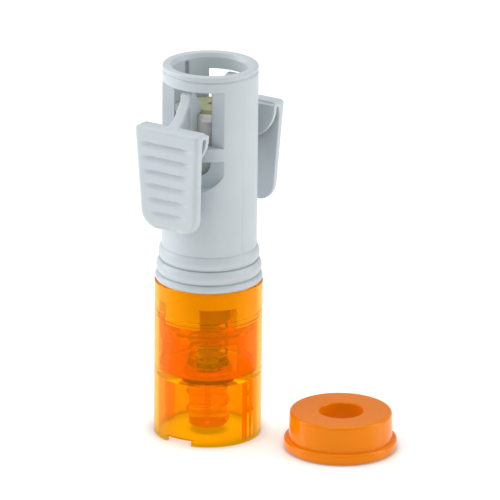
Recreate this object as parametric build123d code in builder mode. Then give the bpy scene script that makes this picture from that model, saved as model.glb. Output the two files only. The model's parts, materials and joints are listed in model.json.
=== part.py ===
from build123d import *
from math import atan2, degrees, radians, sin, sqrt, tan
import os

os.makedirs("parts", exist_ok=True)

# Two-lever clamp adapter: a grey sleeve with two thumb levers on a clear orange barrel,
# and a loose reducer cap that stands beside it. Units are millimetres, +Z is up, the
# origin is on the barrel's axis at the surface it stands on. The levers are on -Y and +Y.
# "Depth" is measured down from the sleeve's rim, and "reach" out from the axis.

# ---- driving dimensions -------------------------------------------------------------
total_height = 115.6
sleeve_radius = 14.3

# fits
running_clearance = 0.06
loose_clearance = 0.3
touch_clearance = 0.02
merge_overlap = 1.0

# barrel
barrel_height = 48.4
barrel_step = 2.0
barrel_wall = 1.4
barrel_rim_fillet = 0.3
skirt_height = 18.9
floor_thickness = 2.0
notch_width = 9.0
notch_height = 1.75
key_rib_width = 1.1
key_rib_height = 0.9
key_rib_angle = 8.0

# snap tabs that hold the sleeve in the barrel and let it swivel
spigot_length = 5.35
tab_length = 6.4
tab_wall = 1.8
tab_count = 4
tab_angle = 46.0
hook_depth = 0.4
hook_height = 1.2
hook_offset = 1.1
head_gap = 0.1

# sleeve
sleeve_wall = 3.1
mouth_flare = 0.7
mouth_height = 1.4
rim_fillet = 0.5
rim_height = 1.25
rim_groove_depth = 0.35
rim_groove_height = 0.9
ring_insets = [0.1, 0.45, 1.1]
ring_tops = [2.5, 6.7, 11.0]
ring_bulge = 0.8
ring_bulge_place = 0.45
stop_height = 1.5
stop_bite = 0.5

# windows, cut to a flat chord plane
chord_inset = 5.2
window_top = 4.75
window_bottom = 22.0
bridge_height = 4.1
lower_window_height = 9.5
lower_window_corner = 7.5
lower_hole_half_width = 6.3
lower_hole_height = 6.1
lower_hole_corner = 5.0
liner_foot = 1.8

# key groove in the sleeve's bore
key_groove_angle = 162.0
key_groove_width = 1.5
key_groove_depth = 0.9
key_groove_top = 1.9

# lever
lever_axis_inset = 2.3
lever_axis_depth = 24.05
pin_radius = 0.9
pin_half_length = 5.6
pin_chamfer = 0.15
knuckle_radius = 2.2
knuckle_half_width = 3.2
spring_slot_half_width = 1.2
pad_top_depth = 14.8
pad_height = 31.8
pad_stand_off = 9.4
pad_lean_in = 1.6
pad_thickness = 2.7
pad_top_half_width = 11.4
pad_bottom_half_width = 9.75
pad_corner = 5.5
pad_top_corner = 1.2
hood_length = 5.2
hood_thickness = 1.6
web_bite = 0.6
web_thickness = 1.6
web_drop = 11.6
web_corner = 11.1
gusset_width = 1.3
gusset_drop = 6.5
gusset_foot = 4.1
gusset_length = 3.7
gusset_foot_length = 3.0
arm_half_width = 1.7
arm_web_half_width = 0.75
arm_gap = 0.95
arm_outer_offset = 1.55
arm_bend_depth = 8.2
arm_waist_offset = 4.7
arm_waist_depth = 12.6
arm_rail = 0.8
arm_root_width = 1.8
arm_foot_depth = 21.5
head_top_depth = 5.8
head_chamfer = 0.75
nose_overhang = 1.4
nose_depth = 11.7
nose_half_height = 0.85
nose_tip = 0.3
recess_top_depth = 9.6
recess_root_height = 3.2
groove_count = 7
groove_pitch = 4.3
groove_first = 4.6
groove_depth = 0.75
groove_step = 0.15
groove_share = 0.75
groove_border = 3.4
groove_narrowing = 3.0

# lever return spring
lever_wire_radius = 0.25
lever_coil_gap = 0.15
lever_coil_turns = 3
lever_coil_pitch = 0.55
lever_leg_up = 5.0
lever_leg_side = 4.2
lever_leg_slot = 1.2
lever_spring_gap = 0.08

# carriage
cup_margin = 2.8
cup_wall = 1.7
cup_length = 13.2
cup_floor = 1.5
cup_flange_thickness = 1.2
septum_top = 12.2
septum_thickness = 3.5
septum_stand = 1.4
septum_fillet = 0.4
pierce_radius = 0.75
plunger_step = 0.3
plunger_wall = 1.8
plunger_stand = 1.0
plunger_seat_thickness = 1.5
collar_width = 2.3
collar_height = 1.5

# cage inside the barrel
cage_gap = 1.7
cage_wall = 1.3
cage_slot_count = 4
cage_slot_start = 45.0
cage_slot_angle = 50.0
cage_slot_foot = 1.7
cage_slot_head = 3.3
cage_lip_gap = 0.6
cage_lip_height = 1.5

# fluid path
post_radius = 3.2
post_chamfer = 1.0
spigot_radius = 2.2
core_spigot_length = 6.0
core_radius = 5.7
core_bottom = 2.4
core_flange_radius = 7.4
core_flange_height = 1.2
core_bore = 0.7
thread_pitch = 5.5
thread_height = 0.9
thread_lead = 1.2
seal_wire_radius = 0.6
seal_ring_radius = 4.4
cannula_radius = 0.65
cannula_wall = 0.325
cannula_gap = 2.1
cannula_stand = 13.0
cannula_depth = 8.0
cannula_bevel = 1.6

# return spring
spring_wire_radius = 0.45
spring_inset = 0.4
spring_turns = 5
seat_height = 0.8

# reducer cap, standing beside the adapter
cap_x = 41.1
cap_y = 10.4
cap_height = 11.6
cap_wall = 0.95
cap_draft = 0.35
cap_flange_width = 1.3
cap_flange_height = 3.4
cap_flange_fillet = 0.9
cap_hole_radius = 6.6
cap_hole_fillet = 0.7
cap_top_thickness = 5.4
cap_edge_fillet = 0.9
cap_socket_clearance = 0.15

# ---- derived places -----------------------------------------------------------------
barrel_radius = sleeve_radius + barrel_step
barrel_bore = barrel_radius - barrel_wall
floor_top = skirt_height + floor_thickness
head_bottom = barrel_height + head_gap
spigot_radius_outer = barrel_bore - running_clearance
spigot_bottom = barrel_height - spigot_length
tab_bottom = spigot_bottom - tab_length
hook_bottom = tab_bottom + hook_offset
bore_radius = sleeve_radius - sleeve_wall
mouth_radius = bore_radius + mouth_flare
guide_radius = bore_radius - loose_clearance
ring_radii = [barrel_radius - inset for inset in ring_insets]
chord_reach = sleeve_radius - chord_inset
lower_window_half_width = sqrt(sleeve_radius**2 - chord_reach**2) + loose_clearance
window_top_z = total_height - window_top
window_bottom_z = total_height - window_bottom
bridge_bottom_z = window_bottom_z - bridge_height
lower_window_bottom_z = bridge_bottom_z - lower_window_height
notch_half = knuckle_half_width + loose_clearance
cup_radius = bore_radius - cup_margin
septum_radius = cup_radius - cup_wall
septum_top_z = total_height - septum_top
septum_bottom_z = septum_top_z - septum_thickness
cup_top_z = septum_top_z - septum_stand
cup_bottom_z = cup_top_z - cup_length
cup_floor_bottom_z = septum_bottom_z - cup_floor
plunger_radius = septum_radius + plunger_step
plunger_bore = plunger_radius - plunger_wall
collar_radius = plunger_radius + collar_width
collar_top = spigot_bottom - running_clearance
cage_top = tab_bottom - cage_gap
cage_lip_radius = collar_radius + cage_lip_gap
plunger_bottom = cage_top + plunger_stand
spring_radius = plunger_bore + spring_inset
cannula_tip = septum_bottom_z - cannula_gap
post_top = cannula_tip - cannula_stand
lever_axis_reach = sleeve_radius - lever_axis_inset
lever_axis_z = total_height - lever_axis_depth
pad_top_z = total_height - pad_top_depth
pad_bottom_z = pad_top_z - pad_height
pad_top_reach = sleeve_radius + pad_stand_off
pad_bottom_reach = pad_top_reach - pad_lean_in
pad_lean = pad_lean_in / pad_height
lever_coil_radius = pin_radius + lever_wire_radius + lever_coil_gap

# A lever's own planes: the front lever stands on -Y and the rear one is turned half round.
front_plane = Plane.XZ
side_plane = Plane(origin=(0, 0, 0), x_dir=(0, -1, 0), z_dir=(-1, 0, 0))
rear_plane = Plane(origin=(0, 0, 0), x_dir=(-1, 0, 0), z_dir=(0, 1, 0))
half_turn = (0, 0, 180)
pin_planes = (
    Plane(origin=(0, -lever_axis_reach, lever_axis_z), x_dir=(0, -1, 0), z_dir=(-1, 0, 0)),
    Plane(origin=(0, lever_axis_reach, lever_axis_z), x_dir=(0, 1, 0), z_dir=(1, 0, 0)),
)
gap_reach = 2 * barrel_radius
gap_half = gap_reach * tan(radians(180 / tab_count - tab_angle / 2))
tab_gap = [(0, 0), (gap_reach, -gap_half), (gap_reach, gap_half)]


def save(builder, name):
    builder.part.label = name
    export_step(builder.part, f"parts/{name}.step")


# ---- outer barrel: clear skirt, floor and socket for the head --------------------------
with BuildPart() as outer_barrel:
    with BuildSketch():
        Circle(barrel_radius)
    extrude(amount=barrel_height)
    with BuildSketch():
        Circle(barrel_bore)
    extrude(amount=skirt_height, mode=Mode.SUBTRACT)
    with BuildSketch(Plane.XY.offset(floor_top)):
        Circle(barrel_bore)
    extrude(amount=barrel_height - floor_top, mode=Mode.SUBTRACT)
    with BuildSketch(Plane.XY.offset(skirt_height)):
        Circle(spigot_radius + running_clearance)
    extrude(amount=floor_thickness, mode=Mode.SUBTRACT)
    # groove that the snap hooks run in
    with BuildSketch(Plane.XY.offset(hook_bottom - loose_clearance / 2)):
        Circle(barrel_bore + hook_depth + loose_clearance / 2)
    extrude(amount=hook_height + loose_clearance, mode=Mode.SUBTRACT)
    # paired ribs inside the skirt, on +X and -X
    with BuildSketch():
        with PolarLocations(barrel_bore - key_rib_height / 2, 2, start_angle=-key_rib_angle / 2):
            Rectangle(key_rib_height + barrel_wall, key_rib_width)
        with PolarLocations(barrel_bore - key_rib_height / 2, 2, start_angle=key_rib_angle / 2):
            Rectangle(key_rib_height + barrel_wall, key_rib_width)
    extrude(amount=skirt_height)
    # notch in the foot, under the front lever
    with BuildSketch(front_plane.offset(barrel_bore / 2)):
        with Locations((0, notch_height / 2)):
            Rectangle(notch_width, notch_height)
    extrude(amount=barrel_radius, mode=Mode.SUBTRACT)
    rim_edges = outer_barrel.edges().filter_by(GeomType.CIRCLE).filter_by(
        lambda e: e.radius > barrel_bore + barrel_wall / 2 and e.center().Z > floor_top
    )
    fillet(rim_edges, barrel_rim_fillet)
save(outer_barrel, "outer_barrel")

# ---- inner cage: stands on the floor, guides the spring and the carriage ---------------
cage_radius = barrel_bore - running_clearance
with BuildPart() as inner_cage:
    with BuildSketch(Plane.XY.offset(floor_top)):
        Circle(cage_radius)
        Circle(cage_radius - cage_wall, mode=Mode.SUBTRACT)
    extrude(amount=cage_top - floor_top)
    with BuildSketch(Plane.XY.offset(cage_top - cage_lip_height)):
        Circle(cage_radius - cage_wall / 2)
        Circle(cage_lip_radius, mode=Mode.SUBTRACT)
    extrude(amount=cage_lip_height)
    slot_width = 2 * cage_radius * sin(radians(cage_slot_angle / 2))
    with BuildSketch(Plane.XY.offset(floor_top + cage_slot_foot)):
        with PolarLocations(cage_radius, cage_slot_count, start_angle=cage_slot_start):
            Rectangle(cage_radius, slot_width)
    extrude(amount=cage_top - cage_slot_head - floor_top - cage_slot_foot, mode=Mode.SUBTRACT)
save(inner_cage, "inner_cage")

# ---- connector core: coarse-threaded nozzle under the floor ------------------------------
with BuildPart() as connector_core:
    with BuildSketch(Plane.XY.offset(core_bottom)):
        Circle(core_radius)
    extrude(amount=skirt_height - core_bottom)
    with BuildSketch(Plane.XY.offset(skirt_height - core_flange_height)):
        Circle(core_flange_radius)
    extrude(amount=core_flange_height)
    with BuildSketch(Plane.XY.offset(skirt_height)):
        Circle(spigot_radius)
    extrude(amount=floor_thickness + core_spigot_length)
    # seal groove in the flange
    with BuildSketch(Plane.XY.offset(skirt_height - seal_wire_radius)):
        Circle(seal_ring_radius + seal_wire_radius + running_clearance)
        Circle(seal_ring_radius - seal_wire_radius - running_clearance, mode=Mode.SUBTRACT)
    extrude(amount=seal_wire_radius, mode=Mode.SUBTRACT)
    with BuildSketch(Plane.XY.offset(core_bottom)):
        Circle(core_bore)
    extrude(amount=total_height, mode=Mode.SUBTRACT)
    thread_length = skirt_height - core_flange_height - core_bottom - thread_pitch / 2
    with BuildLine():
        thread_path = Helix(
            pitch=thread_pitch,
            height=thread_length,
            radius=core_radius,
            center=(0, 0, core_bottom + thread_lead),
        )
    with BuildSketch(Plane(origin=thread_path @ 0, z_dir=thread_path % 0)):
        Circle(thread_height)
    sweep(path=thread_path, is_frenet=True)
save(connector_core, "connector_core")

# ---- seal between the core's flange and the barrel floor ---------------------------------
with BuildPart() as core_seal:
    with BuildSketch(Plane.XZ):
        with Locations((seal_ring_radius, skirt_height - seal_wire_radius / 2)):
            Rectangle(2 * seal_wire_radius, seal_wire_radius)
    revolve(axis=Axis.Z)
save(core_seal, "core_seal")

# ---- post that carries the cannula up through the spring and the carriage ----------------
with BuildPart() as needle_post:
    with BuildSketch(Plane.XY.offset(floor_top)):
        Circle(post_radius)
    extrude(amount=post_top - floor_top)
    with BuildSketch(Plane.XY.offset(floor_top)):
        Circle(spigot_radius)
    extrude(amount=core_spigot_length, mode=Mode.SUBTRACT)
    with BuildSketch(Plane.XY.offset(floor_top)):
        Circle(cannula_radius)
    extrude(amount=post_top - floor_top, mode=Mode.SUBTRACT)
    chamfer(needle_post.faces().sort_by(Axis.Z)[-1].outer_wire().edges(), post_chamfer)
save(needle_post, "needle_post")

# ---- steel cannula with a slanted tip -----------------------------------------------------
with BuildPart() as cannula:
    with BuildSketch(Plane.XY.offset(post_top - cannula_depth)):
        Circle(cannula_radius)
        Circle(cannula_radius - cannula_wall, mode=Mode.SUBTRACT)
    extrude(amount=cannula_tip - post_top + cannula_depth)
    tip_cut = Plane(origin=(0, 0, cannula_tip - cannula_bevel), z_dir=(0, -cannula_bevel, 2 * cannula_radius))
    split(bisect_by=tip_cut, keep=Keep.BOTTOM)
save(cannula, "cannula")

# ---- washer under the return spring -------------------------------------------------------
with BuildPart() as spring_seat:
    with BuildSketch(Plane.XY.offset(floor_top)):
        Circle(spring_radius + 2 * spring_wire_radius)
        Circle(post_radius + running_clearance, mode=Mode.SUBTRACT)
    extrude(amount=seat_height)
save(spring_seat, "spring_seat")

# ---- return spring under the carriage ------------------------------------------------------
spring_bottom = floor_top + seat_height + spring_wire_radius + touch_clearance
spring_rise = plunger_bottom - spring_wire_radius - touch_clearance - spring_bottom
with BuildPart() as return_spring:
    with BuildLine():
        spring_path = Helix(
            pitch=spring_rise / spring_turns,
            height=spring_rise,
            radius=spring_radius,
            center=(0, 0, spring_bottom),
        )
    with BuildSketch(Plane(origin=spring_path @ 0, z_dir=spring_path % 0)):
        Circle(spring_wire_radius)
    sweep(path=spring_path, is_frenet=True)
save(return_spring, "return_spring")

# ---- clamp sleeve ---------------------------------------------------------------------------
ring_starts = [head_bottom] + [barrel_height + top for top in ring_tops[:-1]]
tube_foot = barrel_height + ring_tops[-1]
groove_top = total_height - rim_height
with BuildPart() as clamp_sleeve:
    with BuildSketch(Plane.XZ):
        with BuildLine():
            Polyline(
                (bore_radius, spigot_bottom),
                (spigot_radius_outer, spigot_bottom),
                (spigot_radius_outer, head_bottom),
                (ring_radii[0] - ring_bulge, head_bottom),
            )
            for radius, start, top in zip(ring_radii, ring_starts, ring_tops):
                end = barrel_height + top
                ThreePointArc(
                    (radius - ring_bulge, start),
                    (radius, start + ring_bulge_place * (end - start)),
                    (radius - ring_bulge, end),
                )
            for lower, upper, top in zip(ring_radii, ring_radii[1:], ring_tops):
                Line(
                    (lower - ring_bulge, barrel_height + top),
                    (upper - ring_bulge, barrel_height + top),
                )
            Polyline(
                (ring_radii[-1] - ring_bulge, tube_foot),
                (sleeve_radius, tube_foot),
                (sleeve_radius, groove_top - rim_groove_height),
                (sleeve_radius - rim_groove_depth, groove_top - rim_groove_height / 2),
                (sleeve_radius, groove_top),
                (sleeve_radius, total_height),
                (mouth_radius, total_height),
                (bore_radius, total_height - mouth_height),
                (bore_radius, spigot_bottom),
            )
        make_face()
    revolve(axis=Axis.Z)
    rim_edges = clamp_sleeve.edges().filter_by(GeomType.CIRCLE).filter_by(
        lambda e: e.center().Z > total_height - rim_height / 2
    )
    fillet(rim_edges, rim_fillet)
    # stop flange that the carriage's collar comes up against
    with BuildSketch(Plane.XY.offset(spigot_bottom)):
        Circle(bore_radius + stop_bite)
        Circle(plunger_radius + 2 * loose_clearance, mode=Mode.SUBTRACT)
    extrude(amount=stop_height)
    # snap tabs with their hooks
    with BuildSketch(Plane.XY.offset(tab_bottom)):
        Circle(spigot_radius_outer)
        Circle(spigot_radius_outer - tab_wall, mode=Mode.SUBTRACT)
        with PolarLocations(0, tab_count, start_angle=180 / tab_count):
            Polygon(*tab_gap, align=None, mode=Mode.SUBTRACT)
    extrude(amount=tab_length)
    with BuildSketch(Plane.XY.offset(hook_bottom)):
        Circle(spigot_radius_outer + hook_depth)
        Circle(spigot_radius_outer - tab_wall / 2, mode=Mode.SUBTRACT)
        with PolarLocations(0, tab_count, start_angle=180 / tab_count):
            Polygon(*tab_gap, align=None, mode=Mode.SUBTRACT)
    extrude(amount=hook_height)
    # liner behind the lower windows, which guides the cup
    with BuildSketch(Plane.XY.offset(lower_window_bottom_z - liner_foot)):
        Circle(bore_radius + stop_bite)
        Circle(cup_radius + loose_clearance, mode=Mode.SUBTRACT)
    extrude(amount=bridge_bottom_z - lower_window_bottom_z + liner_foot)
    # both sides: the flat-backed window, the lower window and the notch for the knuckle
    for plane in (front_plane, rear_plane):
        with BuildSketch(plane.offset(chord_reach)):
            with Locations((0, (window_top_z + window_bottom_z) / 2)):
                Rectangle(2 * sleeve_radius, window_top_z - window_bottom_z)
        extrude(amount=sleeve_radius, mode=Mode.SUBTRACT)
        with BuildSketch(plane.offset(chord_reach)) as lower_window:
            with Locations((0, (bridge_bottom_z + lower_window_bottom_z) / 2)):
                Rectangle(2 * lower_window_half_width, lower_window_height)
            fillet(lower_window.vertices().group_by(Axis.Y)[0], lower_window_corner)
        extrude(amount=sleeve_radius, mode=Mode.SUBTRACT)
        # smaller hole in the lower window's flat back
        with BuildSketch(plane.offset(chord_reach / 2)) as lower_hole:
            with Locations((0, bridge_bottom_z - lower_hole_height / 2)):
                Rectangle(2 * lower_hole_half_width, lower_hole_height)
            fillet(lower_hole.vertices().group_by(Axis.Y)[0], lower_hole_corner)
        extrude(amount=sleeve_radius, mode=Mode.SUBTRACT)
        with BuildSketch(plane.offset(chord_reach)):
            with Locations((0, (window_bottom_z + bridge_bottom_z) / 2)):
                Rectangle(2 * notch_half, bridge_height)
        extrude(amount=sleeve_radius, mode=Mode.SUBTRACT)
    # pivot holes, each open at one end so that its pin can be pressed in
    for plane in pin_planes:
        with BuildSketch(plane.offset(-pin_half_length)):
            Circle(pin_radius)
        extrude(amount=sleeve_radius + pin_half_length, mode=Mode.SUBTRACT)
    # key groove down the bore
    with BuildSketch(Plane.XY.offset(head_bottom)):
        with PolarLocations(bore_radius, 1, start_angle=key_groove_angle):
            Rectangle(2 * key_groove_depth, key_groove_width)
    extrude(amount=total_height - key_groove_top - head_bottom, mode=Mode.SUBTRACT)
save(clamp_sleeve, "clamp_sleeve")

# ---- pivot pins ---------------------------------------------------------------------------
for plane, name in zip(pin_planes, ("pivot_pin_front", "pivot_pin_rear")):
    with BuildPart() as pivot_pin:
        with BuildSketch(plane.offset(-pin_half_length)):
            Circle(pin_radius)
        extrude(amount=2 * pin_half_length)
        chamfer(pivot_pin.edges().filter_by(GeomType.CIRCLE), pin_chamfer)
    save(pivot_pin, name)

# ---- levers ---------------------------------------------------------------------------------
# The arm is drawn in the lever's side view, as (reach, depth below the sleeve's rim).
web_outer_reach = pad_top_reach - hood_length + web_bite
web_inner_reach = web_outer_reach - web_thickness
arm_inner_reach = cup_radius + arm_gap
arm_outer_reach = lever_axis_reach + arm_outer_offset
nose_reach = cup_radius - nose_overhang
arm_waist_reach = lever_axis_reach + arm_waist_offset
arm_outline = [
    (arm_inner_reach + head_chamfer, head_top_depth + head_chamfer),
    (arm_inner_reach + 2 * head_chamfer, head_top_depth),
    (arm_outer_reach - head_chamfer, head_top_depth),
    (arm_outer_reach, head_top_depth + head_chamfer),
    (arm_outer_reach, arm_bend_depth),
    (arm_waist_reach, arm_waist_depth),
    (web_outer_reach + arm_root_width, pad_top_depth + web_bite / 2),
    (web_outer_reach, pad_top_depth + 2 * web_bite),
    (web_outer_reach, arm_foot_depth),
    (lever_axis_reach + arm_outer_offset, lever_axis_depth + arm_outer_offset),
    (lever_axis_reach, lever_axis_depth),
    (lever_axis_reach - knuckle_radius, lever_axis_depth),
    (arm_inner_reach, arm_foot_depth),
    (arm_inner_reach, nose_depth + 2 * nose_half_height),
    (nose_reach + nose_tip, nose_depth + nose_half_height),
    (nose_reach, nose_depth),
    (nose_reach + nose_tip, nose_depth - nose_half_height),
]
recess_outline = [
    (arm_outer_reach, recess_top_depth),
    (arm_waist_reach - arm_rail, arm_waist_depth + arm_rail),
    (web_outer_reach - arm_rail, pad_top_depth + web_bite),
    (web_outer_reach - web_thickness - arm_rail, pad_top_depth + web_bite + recess_root_height),
    (lever_axis_reach + arm_rail, arm_foot_depth - arm_rail),
    (arm_outer_reach - arm_rail, recess_top_depth + arm_rail),
]


def side_points(points):
    return [(reach, total_height - depth) for reach, depth in points]


with BuildPart() as lever_front:
    # thumb pad, leaning in towards its foot
    with BuildSketch(side_plane):
        with BuildLine():
            Polyline(
                (pad_top_reach, pad_top_z),
                (pad_bottom_reach, pad_bottom_z),
                (pad_bottom_reach - pad_thickness, pad_bottom_z),
                (pad_top_reach - pad_thickness, pad_top_z),
                close=True,
            )
        make_face()
    extrude(amount=pad_top_half_width, both=True)
    # hood over the pad's top
    with BuildSketch(side_plane):
        with Locations((pad_top_reach - hood_length / 2, pad_top_z - hood_thickness / 2)):
            Rectangle(hood_length, hood_thickness)
    extrude(amount=pad_top_half_width, both=True)
    # trim both to the pad's outline, seen from outside
    with BuildSketch(front_plane) as pad_outline:
        with BuildLine():
            Polyline(
                (-pad_top_half_width, pad_top_z),
                (pad_top_half_width, pad_top_z),
                (pad_bottom_half_width, pad_bottom_z),
                (-pad_bottom_half_width, pad_bottom_z),
                close=True,
            )
        make_face()
        fillet(pad_outline.vertices().group_by(Axis.Y)[0], pad_corner)
        fillet(pad_outline.vertices().group_by(Axis.Y)[-1], pad_top_corner)
    extrude(amount=2 * pad_top_reach, mode=Mode.INTERSECT)
    # finger grooves: each is a wedge, deepest at its top edge
    for index in range(groove_count):
        groove_top = pad_top_z - groove_first - index * groove_pitch
        groove_foot = groove_top - groove_share * groove_pitch
        groove_reach = pad_top_reach - pad_lean * (pad_top_z - groove_top)
        share = (pad_top_z - groove_top) / pad_height
        half_width = pad_top_half_width - groove_border
        half_width -= share * (pad_top_half_width - pad_bottom_half_width) + groove_narrowing * share**3
        with BuildSketch(side_plane):
            with BuildLine():
                Polyline(
                    (groove_reach + merge_overlap, groove_top),
                    (groove_reach - groove_depth, groove_top - groove_step),
                    (groove_reach - pad_lean * groove_pitch, groove_foot),
                    (groove_reach + merge_overlap, groove_foot),
                    close=True,
                )
            make_face()
        extrude(amount=half_width, both=True, mode=Mode.SUBTRACT)
    # curtain web that hangs from the hood, with a round lower edge
    with BuildSketch(front_plane.offset(web_inner_reach)) as web_outline:
        with Locations((0, pad_top_z - hood_thickness / 2 - web_drop / 2)):
            Rectangle(2 * pad_top_half_width, web_drop)
        fillet(web_outline.vertices().group_by(Axis.Y)[0], web_corner)
    extrude(amount=web_thickness)
    # side gussets between the hood and the pad
    with BuildSketch(side_plane.offset(pad_top_half_width - gusset_width)):
        with BuildLine():
            Polyline(
                (pad_top_reach - gusset_length, pad_top_z - hood_thickness / 2),
                (pad_top_reach - merge_overlap, pad_top_z - hood_thickness / 2),
                (pad_top_reach - merge_overlap - pad_lean * gusset_drop, pad_top_z - gusset_drop),
                (pad_top_reach - gusset_foot_length, pad_top_z - gusset_foot),
                close=True,
            )
        make_face()
    extrude(amount=gusset_width - loose_clearance)
    mirror(about=Plane.YZ)
    # arm with its head, nose and recessed sides
    with BuildSketch(side_plane):
        Polygon(*side_points(arm_outline), align=None)
    extrude(amount=arm_half_width, both=True)
    for side in (-1, 1):
        with BuildSketch(side_plane.offset(side * arm_web_half_width)):
            Polygon(*side_points(recess_outline), align=None)
        extrude(amount=side * arm_half_width, mode=Mode.SUBTRACT)
    # knuckle on the pivot pin, slotted for the return spring
    with BuildSketch(side_plane):
        with Locations((lever_axis_reach, lever_axis_z)):
            Circle(knuckle_radius)
    extrude(amount=knuckle_half_width, both=True)
    with BuildSketch(side_plane):
        with Locations((lever_axis_reach, lever_axis_z)):
            Circle(pin_radius + running_clearance)
    extrude(amount=knuckle_half_width, both=True, mode=Mode.SUBTRACT)
    with BuildSketch(side_plane):
        with Locations((lever_axis_reach - loose_clearance, lever_axis_z)):
            Rectangle(2 * knuckle_radius, 2 * knuckle_radius)
        with Locations((lever_axis_reach - lever_coil_radius, lever_axis_z + lever_leg_up / 2)):
            Rectangle(lever_leg_slot, lever_leg_up + 2 * loose_clearance)
    extrude(amount=spring_slot_half_width, both=True, mode=Mode.SUBTRACT)
save(lever_front, "lever_front")

with BuildPart() as lever_rear:
    add(lever_front.part, rotation=half_turn)
save(lever_rear, "lever_rear")

# ---- lever return springs: a coil on the pin, one leg up the arm, one under the bridge --------
coil_length = lever_coil_turns * lever_coil_pitch
leg_reach = lever_axis_reach - lever_coil_radius
leg_foot_z = bridge_bottom_z - lever_wire_radius - lever_spring_gap
coil_axis = Axis((0, -lever_axis_reach, lever_axis_z), (1, 0, 0))
with BuildPart() as lever_spring_front:
    with BuildLine():
        coil = Helix(
            pitch=lever_coil_pitch,
            height=coil_length,
            radius=lever_coil_radius,
            center=(-coil_length / 2, -lever_axis_reach, lever_axis_z),
            direction=(1, 0, 0),
            mode=Mode.PRIVATE,
        )
        coil = coil.rotate(coil_axis, -90)
        add(coil)
    with BuildSketch(Plane(origin=coil @ 0, z_dir=coil % 0)):
        Circle(lever_wire_radius)
    sweep(path=coil, is_frenet=True)
    # small beads where the coil turns into its legs
    with Locations(coil @ 0, coil @ 1):
        Sphere(lever_wire_radius + touch_clearance)
    # straight leg up the arm
    with BuildSketch(Plane.XY.offset(lever_axis_z)):
        with Locations((coil_length / 2, -leg_reach)):
            Circle(lever_wire_radius)
    extrude(amount=lever_leg_up)
    # leg down, then sideways under the bridge
    with BuildSketch(Plane.XY.offset(leg_foot_z)):
        with Locations((-coil_length / 2, -leg_reach)):
            Circle(lever_wire_radius)
    extrude(amount=lever_axis_z - leg_foot_z)
    with BuildSketch(Plane.YZ.offset(lever_wire_radius - coil_length / 2)):
        with Locations((-leg_reach, leg_foot_z)):
            Circle(lever_wire_radius)
    extrude(amount=-lever_leg_side)
save(lever_spring_front, "lever_spring_front")

with BuildPart() as lever_spring_rear:
    add(lever_spring_front.part, rotation=half_turn)
save(lever_spring_rear, "lever_spring_rear")

# ---- carriage: cup for the vial's neck, its septum, and the plunger tube under it --------------
with BuildPart() as vial_cup:
    with BuildSketch(Plane.XY.offset(cup_bottom_z)):
        Circle(cup_radius)
    extrude(amount=cup_length)
    with BuildSketch(Plane.XY.offset(cup_top_z - cup_flange_thickness)):
        Circle(guide_radius)
    extrude(amount=cup_flange_thickness)
    with BuildSketch(Plane.XY.offset(septum_bottom_z)):
        Circle(septum_radius)
    extrude(amount=septum_thickness, mode=Mode.SUBTRACT)
    with BuildSketch(Plane.XY.offset(cup_bottom_z)):
        Circle(plunger_radius)
    extrude(amount=cup_floor_bottom_z - cup_bottom_z, mode=Mode.SUBTRACT)
    with BuildSketch(Plane.XY.offset(cup_floor_bottom_z)):
        Circle(cannula_radius + 2 * loose_clearance)
    extrude(amount=cup_floor, mode=Mode.SUBTRACT)
    # slots that the lever arms pass through
    with BuildSketch(Plane.XY.offset(cup_bottom_z)):
        with Locations((0, cup_radius + guide_radius), (0, -cup_radius - guide_radius)):
            Rectangle(2 * notch_half, 2 * guide_radius)
    extrude(amount=cup_length, mode=Mode.SUBTRACT)
save(vial_cup, "vial_cup")

with BuildPart() as septum:
    with BuildSketch(Plane.XY.offset(septum_bottom_z)):
        Circle(septum_radius)
    extrude(amount=septum_thickness)
    fillet(septum.faces().sort_by(Axis.Z)[-1].edges(), septum_fillet)
    with BuildSketch(Plane.XY.offset(septum_bottom_z)):
        Circle(pierce_radius)
    extrude(amount=septum_thickness, mode=Mode.SUBTRACT)
save(septum, "septum")

with BuildPart() as plunger_tube:
    with BuildSketch(Plane.XY.offset(plunger_bottom)):
        Circle(plunger_radius)
    extrude(amount=cup_floor_bottom_z - plunger_bottom)
    with BuildSketch(Plane.XY.offset(collar_top - collar_height)):
        Circle(collar_radius)
    extrude(amount=collar_height)
    with BuildSketch(Plane.XY.offset(plunger_bottom + plunger_seat_thickness)):
        Circle(plunger_bore)
    extrude(amount=cup_floor_bottom_z - plunger_bottom, mode=Mode.SUBTRACT)
    with BuildSketch(Plane.XY.offset(plunger_bottom)):
        Circle(post_radius + 2 * loose_clearance)
    extrude(amount=plunger_seat_thickness, mode=Mode.SUBTRACT)
save(plunger_tube, "plunger_tube")

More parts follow.
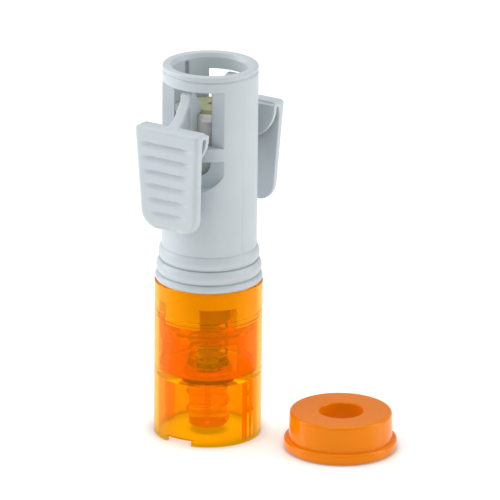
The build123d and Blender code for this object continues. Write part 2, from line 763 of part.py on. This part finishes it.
# ---- reducer cap, standing beside the adapter ----------------------------------------------------
cap_plane = Plane(origin=(cap_x, cap_y, 0))
cap_socket_radius = sleeve_radius + cap_socket_clearance
cap_top_radius = cap_socket_radius + cap_wall
cap_foot_radius = cap_top_radius + cap_draft
cap_flange_radius = cap_foot_radius + cap_flange_width
with BuildPart() as reducer_cap:
    with BuildSketch(cap_plane):
        Circle(cap_foot_radius)
    extrude(amount=cap_height, taper=degrees(atan2(cap_draft, cap_height)))
    fillet(reducer_cap.faces().sort_by(Axis.Z)[-1].edges(), cap_edge_fillet)
    with BuildSketch(cap_plane):
        Circle(cap_flange_radius)
    extrude(amount=cap_flange_height)
    flange_edges = reducer_cap.edges().filter_by(GeomType.CIRCLE).filter_by(
        lambda e: e.radius > cap_flange_radius - cap_flange_width / 2
    )
    fillet(flange_edges, cap_flange_fillet)
    with BuildSketch(cap_plane):
        Circle(cap_socket_radius)
    extrude(amount=cap_height - cap_top_thickness, mode=Mode.SUBTRACT)
    with BuildSketch(cap_plane):
        Circle(cap_hole_radius)
    extrude(amount=cap_height, mode=Mode.SUBTRACT)
    hole_edges = reducer_cap.edges().filter_by(GeomType.CIRCLE).filter_by(
        lambda e: e.radius < cap_hole_radius + cap_hole_fillet and e.center().Z > cap_height - cap_hole_fillet
    )
    fillet(hole_edges, cap_hole_fillet)
save(reducer_cap, "reducer_cap")
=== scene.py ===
import bmesh
import bpy
import json
from math import cos, radians, sin, sqrt
from mathutils import Matrix, Vector


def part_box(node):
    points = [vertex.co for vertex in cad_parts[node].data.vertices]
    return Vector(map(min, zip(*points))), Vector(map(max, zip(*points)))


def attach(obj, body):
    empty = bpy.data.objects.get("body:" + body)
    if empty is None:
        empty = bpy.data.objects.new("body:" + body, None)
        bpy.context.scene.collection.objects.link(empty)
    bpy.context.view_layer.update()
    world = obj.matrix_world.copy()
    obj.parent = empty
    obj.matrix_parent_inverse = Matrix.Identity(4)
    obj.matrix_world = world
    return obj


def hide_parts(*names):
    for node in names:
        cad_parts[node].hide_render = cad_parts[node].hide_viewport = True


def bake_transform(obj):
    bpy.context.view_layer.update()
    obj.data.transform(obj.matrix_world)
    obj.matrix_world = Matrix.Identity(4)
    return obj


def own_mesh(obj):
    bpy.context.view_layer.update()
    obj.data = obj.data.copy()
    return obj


# Looks of the two-lever clamp adapter. Units are metres, and MM turns millimetres into them.
# The levers are on -Y and +Y, as in the CAD frame. Azimuths turn from -Y towards +X.
MM = 0.001

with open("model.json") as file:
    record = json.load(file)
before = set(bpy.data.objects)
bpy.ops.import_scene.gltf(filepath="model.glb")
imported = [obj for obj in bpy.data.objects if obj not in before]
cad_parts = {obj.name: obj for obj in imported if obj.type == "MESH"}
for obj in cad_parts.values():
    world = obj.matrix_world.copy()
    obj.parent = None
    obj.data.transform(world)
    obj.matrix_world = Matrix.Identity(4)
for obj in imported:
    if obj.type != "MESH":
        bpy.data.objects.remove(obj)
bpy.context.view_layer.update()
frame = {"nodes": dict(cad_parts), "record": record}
nodes = frame["nodes"]


# ---- materials ------------------------------------------------------------------------
def new_material(name):
    material = bpy.data.materials.new(name)
    material.use_nodes = True
    tree = material.node_tree
    shader = tree.nodes["Principled BSDF"]
    return material, tree, shader


def object_point(tree):
    """The point in the object's own space, which moves with the piece."""
    return tree.nodes.new("ShaderNodeTexCoord").outputs["Object"]


def noise_value(tree, point, scale, detail=3.0, roughness=0.5):
    noise = tree.nodes.new("ShaderNodeTexNoise")
    noise.inputs["Scale"].default_value = scale
    noise.inputs["Detail"].default_value = detail
    noise.inputs["Roughness"].default_value = roughness
    tree.links.new(point, noise.inputs["Vector"])
    return noise.outputs["Fac"]


def ramp(tree, value, stops):
    node = tree.nodes.new("ShaderNodeValToRGB")
    elements = node.color_ramp.elements
    while len(elements) < len(stops):
        elements.new(0.5)
    for element, (place, colour) in zip(elements, stops):
        element.position = place
        element.color = (*colour, 1.0)
    tree.links.new(value, node.inputs["Fac"])
    return node.outputs["Color"]


def map_range(tree, value, low, high, new_low, new_high):
    node = tree.nodes.new("ShaderNodeMapRange")
    for socket, number in zip(("From Min", "From Max", "To Min", "To Max"), (low, high, new_low, new_high)):
        node.inputs[socket].default_value = number
    tree.links.new(value, node.inputs["Value"])
    return node.outputs["Result"]


def bump(tree, shader, height, strength, distance, normal=None):
    node = tree.nodes.new("ShaderNodeBump")
    node.inputs["Strength"].default_value = strength
    node.inputs["Distance"].default_value = distance
    tree.links.new(height, node.inputs["Height"])
    if normal is not None:
        tree.links.new(normal, node.inputs["Normal"])
    tree.links.new(node.outputs["Normal"], shader.inputs["Normal"])


def soft_edges(tree, radius):
    """Rounds the shading over edges as a mould does."""
    node = tree.nodes.new("ShaderNodeBevel")
    node.samples = 6
    node.inputs["Radius"].default_value = radius
    return node.outputs["Normal"]


def maths(tree, operation, first, second):
    """A math node; each operand is a number or a socket."""
    node = tree.nodes.new("ShaderNodeMath")
    node.operation = operation
    for socket, value in zip(node.inputs, (first, second)):
        if isinstance(value, (int, float)):
            socket.default_value = value
        else:
            tree.links.new(value, socket)
    return node.outputs["Value"]


def split_point(tree, point):
    node = tree.nodes.new("ShaderNodeSeparateXYZ")
    tree.links.new(point, node.inputs["Vector"])
    return node.outputs["X"], node.outputs["Y"], node.outputs["Z"]


def seam_height(tree, point, across, beyond):
    """A fine parting line in the upright plane through Z that is square to `across`.

    It shows only where a point is further than `beyond` along that plane, counted from the axis.
    """
    x, y, _ = split_point(tree, point)
    off = maths(tree, "ADD", maths(tree, "MULTIPLY", x, across[0]), maths(tree, "MULTIPLY", y, across[1]))
    out = maths(tree, "ADD", maths(tree, "MULTIPLY", x, -across[1]), maths(tree, "MULTIPLY", y, across[0]))
    line = map_range(tree, maths(tree, "ABSOLUTE", off, 0.0), *SEAM_HALF_WIDTHS, 1.0, 0.0)
    outside = maths(tree, "GREATER_THAN", out, beyond)
    return maths(tree, "MULTIPLY", line, outside)


def paler_below(tree, point, colour, height):
    """The part of a piece under `height` takes a paler colour: it stands for light gathered in the barrel."""
    _, _, z = split_point(tree, point)
    mix = tree.nodes.new("ShaderNodeMix")
    mix.data_type = "RGBA"
    factor, first, second = mix.inputs[0], mix.inputs[6], mix.inputs[7]
    second.default_value = (0.93, 0.95, 0.93, 1.0)
    tree.links.new(maths(tree, "LESS_THAN", z, height), factor)
    tree.links.new(colour, first)
    return mix.outputs[2]


def moulded_plastic(
    name, low, high, roughness, edge=0.25 * MM, grain=0.12, seam=None, painted_glow=0.0, pale_below=None
):
    """Opaque moulded plastic: flow marks in the colour, a fine spark-eroded grain and soft edges.

    low and high are the two colours of the flow marks, edge the radius of the softened edges and
    seam the arguments of seam_height. Its glow is painted light: an emission in the piece's own colour that
    brightens it beyond what the lamps give.
    """
    material, tree, shader = new_material(name)
    point = object_point(tree)
    flow = noise_value(tree, point, 60.0, detail=4.0)
    colour = ramp(tree, flow, [(0.3, low), (0.7, high)])
    if pale_below is not None:
        colour = paler_below(tree, point, colour, pale_below)
    tree.links.new(colour, shader.inputs["Base Color"])
    sparks = noise_value(tree, point, 2600.0, detail=2.0)
    sheen_patches = noise_value(tree, point, 180.0, detail=3.0)
    tree.links.new(
        map_range(tree, sheen_patches, 0.3, 0.7, roughness - 0.05, roughness + 0.07),
        shader.inputs["Roughness"],
    )
    # painted light: the piece glows in its own colour, brighter than the lamps alone make it
    if painted_glow > 0:
        shader.inputs["Specular Tint"].default_value = (1.0, 0.7, 0.3, 1.0)
        shader.inputs["Emission Color"].default_value = (*high, 1.0)
        shader.inputs["Emission Strength"].default_value = painted_glow
    fine = tree.nodes.new("ShaderNodeBump")
    fine.inputs["Strength"].default_value = grain
    fine.inputs["Distance"].default_value = 0.02 * MM
    tree.links.new(sparks, fine.inputs["Height"])
    tree.links.new(soft_edges(tree, edge), fine.inputs["Normal"])
    if seam is None:
        tree.links.new(fine.outputs["Normal"], shader.inputs["Normal"])
    else:
        bump(tree, shader, seam_height(tree, point, *seam), 1.0, SEAM_HEIGHT, fine.outputs["Normal"])
    return material


def clear_plastic(name, tint, roughness):
    """Clear tinted plastic, a little cloudy, with moulding waves in its faces."""
    material, tree, shader = new_material(name)
    point = object_point(tree)
    flow = noise_value(tree, point, 90.0, detail=3.0)
    darker = tuple(0.94 * channel for channel in tint)
    tree.links.new(ramp(tree, flow, [(0.3, darker), (0.7, tint)]), shader.inputs["Base Color"])
    shader.inputs["Transmission Weight"].default_value = 0.94
    shader.inputs["IOR"].default_value = 1.2
    shader.inputs["Specular Tint"].default_value = (1.0, 0.5, 0.15, 1.0)
    # painted light: the wall glows a faint orange of its own, which brightens the barrel beyond what the
    # lamps give
    shader.inputs["Emission Color"].default_value = (1.0, 0.25, 0.0, 1.0)
    shader.inputs["Emission Strength"].default_value = 0.09
    patches = noise_value(tree, point, 220.0, detail=2.0)
    tree.links.new(
        map_range(tree, patches, 0.3, 0.7, roughness - 0.03, roughness + 0.05),
        shader.inputs["Roughness"],
    )
    waves = noise_value(tree, point, 140.0, detail=2.0)
    bump(tree, shader, waves, 0.25, 0.15 * MM)
    # lamps pass through the wall nearly untinted, so that they light what is inside
    path = tree.nodes.new("ShaderNodeLightPath")
    clear = tree.nodes.new("ShaderNodeBsdfTransparent")
    clear.inputs["Color"].default_value = (1.0, 0.98, 0.95, 1.0)
    mix = tree.nodes.new("ShaderNodeMixShader")
    output = tree.nodes["Material Output"]
    tree.links.new(path.outputs["Is Shadow Ray"], mix.inputs["Fac"])
    tree.links.new(shader.outputs["BSDF"], mix.inputs[1])
    tree.links.new(clear.outputs["BSDF"], mix.inputs[2])
    tree.links.new(mix.outputs["Shader"], output.inputs["Surface"])
    return material


def steel_wire(name):
    """Drawn steel: fine draw lines and small dull patches."""
    material, tree, shader = new_material(name)
    point = object_point(tree)
    patches = noise_value(tree, point, 900.0, detail=3.0)
    tree.links.new(
        ramp(tree, patches, [(0.3, (0.42, 0.43, 0.45)), (0.7, (0.60, 0.61, 0.63))]),
        shader.inputs["Base Color"],
    )
    shader.inputs["Metallic"].default_value = 1.0
    tree.links.new(map_range(tree, patches, 0.3, 0.7, 0.22, 0.4), shader.inputs["Roughness"])
    bump(tree, shader, noise_value(tree, point, 5000.0), 0.15, 0.01 * MM)
    return material


def elastomer(name, low, high):
    """Matte rubber with a soft mottled surface."""
    material, tree, shader = new_material(name)
    point = object_point(tree)
    mottle = noise_value(tree, point, 400.0, detail=4.0)
    tree.links.new(ramp(tree, mottle, [(0.3, low), (0.7, high)]), shader.inputs["Base Color"])
    tree.links.new(map_range(tree, mottle, 0.3, 0.7, 0.6, 0.75), shader.inputs["Roughness"])
    bump(tree, shader, noise_value(tree, point, 1800.0), 0.3, 0.04 * MM, soft_edges(tree, 0.2 * MM))
    return material


GREYS = ((0.55, 0.61, 0.64), (0.58, 0.64, 0.67))
ORANGES = ((0.84, 0.21, 0.0), (0.88, 0.225, 0.0))
NATURALS = ((0.62, 0.62, 0.59), (0.68, 0.68, 0.65))
# the sleeve's parting line, which is seen to the right of the windows
SEAM_AZIMUTH = radians(78)
SEAM_REACH = 13.9 * MM
SEAM_HEIGHT = 0.06 * MM
SEAM_HALF_WIDTHS = (0.03 * MM, 0.16 * MM)
BARREL_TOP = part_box("outer_barrel")[1][2]

materials = {
    "grey_plastic": moulded_plastic("grey_plastic_look", *GREYS, 0.42, edge=0.4 * MM),
    "clear_orange": clear_plastic("clear_orange_look", (0.84, 0.46, 0.0), 0.05),
    # the orange cap carries painted light: a faint glow in its own colour
    "orange_plastic": moulded_plastic(
        "orange_plastic_look", *ORANGES, 0.16, edge=0.3 * MM, grain=0.02, painted_glow=0.06
    ),
    "natural_plastic": moulded_plastic("natural_plastic_look", *NATURALS, 0.45),
    "olive_rubber": elastomer("olive_rubber_look", (0.40, 0.42, 0.24), (0.46, 0.48, 0.28)),
    "dark_rubber": elastomer("dark_rubber_look", (0.015, 0.015, 0.016), (0.03, 0.03, 0.03)),
    "steel": steel_wire("steel_look"),
}
sleeve_look = moulded_plastic(
    "sleeve_look",
    *GREYS,
    0.40,
    edge=0.4 * MM,
    seam=((-cos(SEAM_AZIMUTH), -sin(SEAM_AZIMUTH)), SEAM_REACH),
    pale_below=BARREL_TOP - 0.1 * MM,
)
# the lever's line goes down its middle, all round
lever_look = moulded_plastic("lever_look", *GREYS, 0.42, seam=((1.0, 0.0), -1.0))

slot_of = {part["node"]: part["material_slot"] for part in frame["record"]["subparts"]}
for name, node in nodes.items():
    for slot in node.material_slots:
        slot.material = materials[slot_of[name]]
for slot in nodes["clamp_sleeve"].material_slots:
    slot.material = sleeve_look


# ---- levers -----------------------------------------------------------------------------
# Each lever is the CAD lever with its moulded edges rounded and its thumb ribs drawn again:
# the pad's face steps in sharply under every rib and comes back out softly below the step.
# Drops are measured down from the pad's top edge.
PAD_TOP_DROP = 9.0 * MM
PAD_HEIGHT = 31.8 * MM
PAD_LEAN_IN = 1.6 * MM
PAD_LEAN = PAD_LEAN_IN / PAD_HEIGHT
PAD_TOP_HALF = 11.4 * MM
PAD_BOTTOM_HALF = 9.75 * MM
PAD_CORNER = 5.5 * MM
PAD_TOP_CORNER = 1.2 * MM
RIB_FIRST = 4.6 * MM
RIB_PITCH = 4.3 * MM
RIB_COUNT = 7
RIB_DEPTH = 1.15 * MM
RIB_STEP = 0.2 * MM
RIB_RISE = 0.42 * RIB_PITCH
RIB_BORDER = 1.6 * MM
RIB_NARROWING = 3.0 * MM
RIB_FADE = 4.0 * MM
SLAB_DEPTHS = (0.03 * MM, 1.4 * MM)
SLAB_TOP_GAP = 1.5 * MM
SLAB_FOOT_GAP = 1.2 * MM
SLAB_FOOT_SIDE_GAP = 3.9 * MM
EDGE_ROUND = 1.3 * MM
PAD_SKIN = 1.6 * MM
VOXEL = 0.2 * MM
RELAX_ROUNDS = 3


def smooth_step(value):
    value = min(1.0, max(0.0, value))
    return value * value * (3 - 2 * value)


def pad_half(drop):
    return PAD_TOP_HALF + (PAD_BOTTOM_HALF - PAD_TOP_HALF) * min(1.0, max(0.0, drop / PAD_HEIGHT))


def border_distance(x, drop):
    """How far inside the pad's outline a point is, seen from outside."""
    side = pad_half(drop) - abs(x)
    foot = PAD_HEIGHT - drop
    for corner, end in ((PAD_CORNER, foot), (PAD_TOP_CORNER, drop)):
        if side < corner and end < corner:
            return corner - sqrt((corner - side) ** 2 + (corner - end) ** 2)
    return min(side, foot, drop)


def rib_dent(x, drop):
    """How deep the surface is under the pad's plane, between the ribs' feet."""
    dent = 0.0
    for index in range(RIB_COUNT):
        below = drop - RIB_FIRST - index * RIB_PITCH
        if below > -0.5 * RIB_STEP:
            step = smooth_step((below + 0.5 * RIB_STEP) / RIB_STEP)
            rest = 1.0 - smooth_step((below - 0.75 * RIB_STEP) / RIB_RISE)
            dent = max(dent, min(step, rest))
    share = drop / PAD_HEIGHT
    reach = pad_half(drop) - RIB_BORDER - RIB_NARROWING * share**3
    ends = smooth_step((reach - abs(x)) / RIB_FADE)
    return RIB_DEPTH * dent * ends * (1.0 - 0.3 * share)


def voxel_form(piece):
    modifier = piece.modifiers.new("form", "REMESH")
    modifier.mode = "VOXEL"
    modifier.voxel_size = VOXEL
    depsgraph = bpy.context.evaluated_depsgraph_get()
    mesh = bpy.data.meshes.new_from_object(piece.evaluated_get(depsgraph))
    piece.modifiers.clear()
    piece.data = mesh


def relax(mesh):
    form = bmesh.new()
    form.from_mesh(mesh)
    for _ in range(RELAX_ROUNDS):
        bmesh.ops.smooth_vert(
            form, verts=form.verts, factor=0.5, use_axis_x=True, use_axis_y=True, use_axis_z=True
        )
    form.to_mesh(mesh)
    form.free()


def close_grooves(mesh, top, outer):
    """Adds a slab just under the pad's plane, which fills the CAD grooves."""
    form = bmesh.new()
    form.from_mesh(mesh)
    bmesh.ops.remove_doubles(form, verts=form.verts, dist=0.002 * MM)
    corners = []
    ends = ((SLAB_TOP_GAP, SLAB_TOP_GAP), (PAD_HEIGHT - SLAB_FOOT_GAP, SLAB_FOOT_SIDE_GAP))
    for depth in SLAB_DEPTHS:
        for drop, side_gap in ends:
            half = pad_half(drop) - side_gap
            for x in (-half, half):
                corners.append(form.verts.new((x, -(outer - PAD_LEAN * drop - depth), top - drop)))
    for face in ((0, 1, 3, 2), (4, 6, 7, 5), (0, 2, 6, 4), (1, 5, 7, 3), (0, 4, 5, 1), (2, 3, 7, 6)):
        form.faces.new([corners[i] for i in face])
    form.to_mesh(mesh)
    form.free()


def lay_ribs(mesh, top, outer):
    """Moves the pad's outer face onto its ribs and rounds its border."""
    for vertex in mesh.vertices:
        x, y, z = vertex.co
        drop = top - z
        plane = outer - PAD_LEAN * drop
        if drop < -0.1 * MM or drop > PAD_HEIGHT + 0.1 * MM or -y < plane - PAD_SKIN:
            continue
        inside = min(EDGE_ROUND, max(0.0, border_distance(x, drop)))
        edge = EDGE_ROUND - sqrt(EDGE_ROUND**2 - (EDGE_ROUND - inside) ** 2)
        surface = plane - edge - rib_dent(x, drop)
        if -y > surface or (inside > 0.99 * EDGE_ROUND and vertex.normal.y < -0.3):
            vertex.co.y = -surface
    mesh.update()


def make_lever(name, turned):
    """Both levers are formed on -Y; the rear one is turned half round for that and back again."""
    low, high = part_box(name)
    top = high[2] - PAD_TOP_DROP
    outer = high[1] if turned else -low[1]
    half_turn = Matrix.Rotation(radians(180), 4, "Z")
    mesh = nodes[name].data.copy()
    mesh.transform(nodes[name].matrix_world)
    if turned:
        mesh.transform(half_turn)
    close_grooves(mesh, top, outer)
    piece = bpy.data.objects.new(name + "_moulded", mesh)
    bpy.context.scene.collection.objects.link(piece)
    voxel_form(piece)
    lay_ribs(piece.data, top, outer)
    voxel_form(piece)
    relax(piece.data)
    if turned:
        piece.data.transform(half_turn)
    piece.data.materials.clear()
    piece.data.materials.append(lever_look)
    for polygon in piece.data.polygons:
        polygon.use_smooth = True
    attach(piece, name)
    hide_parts(name)


make_lever("lever_front", turned=False)
make_lever("lever_rear", turned=True)


def coil_piece(node, name):
    mesh = nodes[node].data.copy()
    mesh.transform(nodes[node].matrix_world)
    mesh.materials.clear()
    mesh.materials.append(materials["steel"])
    coil = bpy.data.objects.new(name, mesh)
    bpy.context.scene.collection.objects.link(coil)
    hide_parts(node)
    return coil


return_coil = coil_piece("return_spring", "return_coil")
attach(return_coil, "barrel")
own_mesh(return_coil)
for side in ("front", "rear"):
    lever_coil = coil_piece("lever_spring_" + side, "lever_coil_" + side)
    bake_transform(lever_coil)


# ---- stage ------------------------------------------------------------------------------
FLOOR_HALF = 3.0
PAINTED_SHADOW_REACH = 9.0 * MM


def make_floor():
    """A pale floor with a painted contact shadow: its colour darkens where the object stands close to it."""
    mesh = bpy.data.meshes.new("floor")
    corners = [(x * FLOOR_HALF, y * FLOOR_HALF, 0) for x, y in ((-1, -1), (1, -1), (1, 1), (-1, 1))]
    mesh.from_pydata(corners, [], [(0, 1, 2, 3)])
    floor = bpy.data.objects.new("floor", mesh)
    bpy.context.scene.collection.objects.link(floor)
    material, tree, shader = new_material("floor_look")
    # painted shadow: ambient occlusion darkens the floor's colour near the object
    painted_shadow = tree.nodes.new("ShaderNodeAmbientOcclusion")
    painted_shadow.inputs["Distance"].default_value = PAINTED_SHADOW_REACH
    tree.links.new(
        ramp(tree, painted_shadow.outputs["AO"], [(0.4, (0.1, 0.1, 0.1)), (0.8, (0.9, 0.9, 0.9))]),
        shader.inputs["Base Color"],
    )
    shader.inputs["Roughness"].default_value = 0.12
    shader.inputs["Specular IOR Level"].default_value = 0.6
    shader.inputs["Emission Color"].default_value = (1, 1, 1, 1)
    shader.inputs["Emission Strength"].default_value = 0.34
    mesh.materials.append(material)


def area_light(name, place, target, size, power):
    data = bpy.data.lights.new(name, "AREA")
    data.shape = "RECTANGLE"
    data.size, data.size_y = size
    data.energy = power
    lamp = bpy.data.objects.new(name, data)
    lamp.location = place
    lamp.rotation_euler = (Vector(target) - Vector(place)).to_track_quat("-Z", "Y").to_euler()
    bpy.context.scene.collection.objects.link(lamp)


def around(azimuth, elevation, distance, centre):
    a, e = radians(azimuth), radians(elevation)
    return Vector(centre) + distance * Vector((sin(a) * cos(e), -cos(a) * cos(e), sin(e)))


VIEW_AZIMUTH = 33.0
VIEW_ELEVATION = 19.05
VIEW_DISTANCE = 1.634
VIEW_ROLL = 0.64
FIELD_WIDTH = 0.150
SENSOR_WIDTH = 36.0
MIDDLE = Vector((0, 0, 0.05735))
# the adapter stands left of the picture's middle, to leave room for the cap
RIGHT = Vector((cos(radians(VIEW_AZIMUTH)), sin(radians(VIEW_AZIMUTH)), 0))
AIM = MIDDLE + 0.0123 * RIGHT


def make_camera():
    data = bpy.data.cameras.new("camera")
    data.sensor_width = SENSOR_WIDTH
    data.lens = SENSOR_WIDTH * VIEW_DISTANCE / FIELD_WIDTH
    data.clip_end = 20.0
    camera = bpy.data.objects.new("camera", data)
    camera.location = around(VIEW_AZIMUTH, VIEW_ELEVATION, VIEW_DISTANCE, AIM)
    turn = (AIM - camera.location).to_track_quat("-Z", "Y").to_matrix()
    turn = turn @ Matrix.Rotation(radians(VIEW_ROLL), 3, "Z")
    camera.rotation_euler = turn.to_euler()
    bpy.context.scene.collection.objects.link(camera)
    bpy.context.scene.camera = camera


# each light's name, azimuth, elevation, distance, size and power; the two large side lights model
# the tube, and the fill keeps the front from going dark
SIDE_LIGHTS = (
    ("left", -70, 28, 0.8, (0.5, 0.8), 3.9),
    ("right", 120, 26, 0.8, (0.4, 0.8), 2.5),
    ("fill", 5, 30, 1.2, (0.5, 0.5), 1.6),
)
# enough bounces for the many clear walls of the barrel
BOUNCES = 24


def make_lights():
    world = bpy.data.worlds.new("world")
    bpy.context.scene.world = world
    world.use_nodes = True
    background = world.node_tree.nodes["Background"]
    background.inputs["Color"].default_value = (1.0, 1.0, 1.0, 1)
    background.inputs["Strength"].default_value = 0.4
    for name, azimuth, elevation, distance, size, power in SIDE_LIGHTS:
        area_light(name, around(azimuth, elevation, distance, MIDDLE), MIDDLE, size, power)
    area_light("top", (-0.1, 0.15, 1.1), (0, 0, 0), (0.9, 0.9), 3.6)


def set_look():
    scene = bpy.context.scene
    scene.view_settings.view_transform = "Standard"
    scene.cycles.max_bounces = BOUNCES
    scene.cycles.transmission_bounces = BOUNCES
    scene.cycles.transparent_max_bounces = BOUNCES


make_floor()
make_camera()
make_lights()
set_look()
